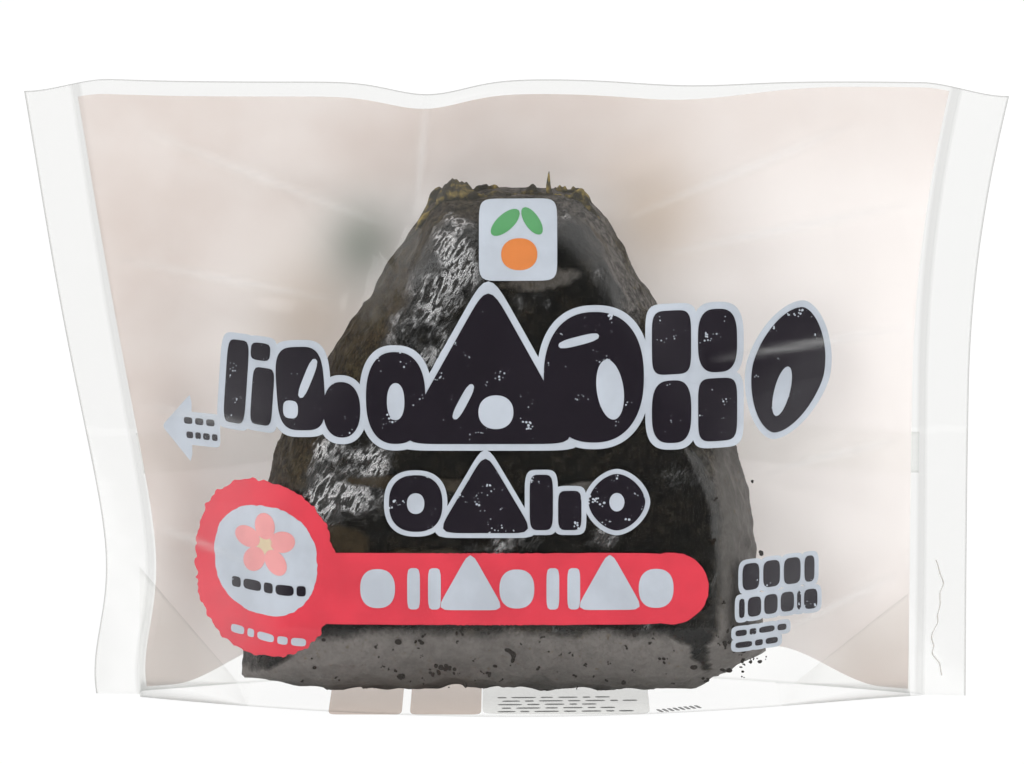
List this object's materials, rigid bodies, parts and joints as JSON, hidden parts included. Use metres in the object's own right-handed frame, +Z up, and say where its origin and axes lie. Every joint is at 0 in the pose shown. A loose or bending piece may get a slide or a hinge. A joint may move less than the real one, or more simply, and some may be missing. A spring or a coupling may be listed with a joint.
{
  "type": "packed onigiri rice ball",
  "caption": "Large nori-wrapped triangular rice ball sealed in a clear film pack with end seals, a flat back seam and a gusset base on which it stands.",
  "frame": {"origin": "on the surface the pack stands on, below the middle of its bounding box", "axes": "+Z up, +X to the right of the printed front, which faces -Y"},
  "size_m": [0.1706, 0.0398, 0.109],
  "materials": {
    "clear_film": "clear glossy film with soft creases",
    "back_print": "pale pinkish beige print on the inside of the back film",
    "nori": "black-green dried seaweed sheet, crinkled, with a dull gloss",
    "nori_edge": "thin torn edge of seaweed, yellow-green where light comes through",
    "ink_pale": "pale blue-white print",
    "ink_dark": "worn near-black print",
    "ink_red": "warm red print",
    "ink_accent": "small accents of pink, cream, orange and green print"
  },
  "bodies": {
    "root": {"sealed_pack": "clear_film"}
  },
  "joints": []
}
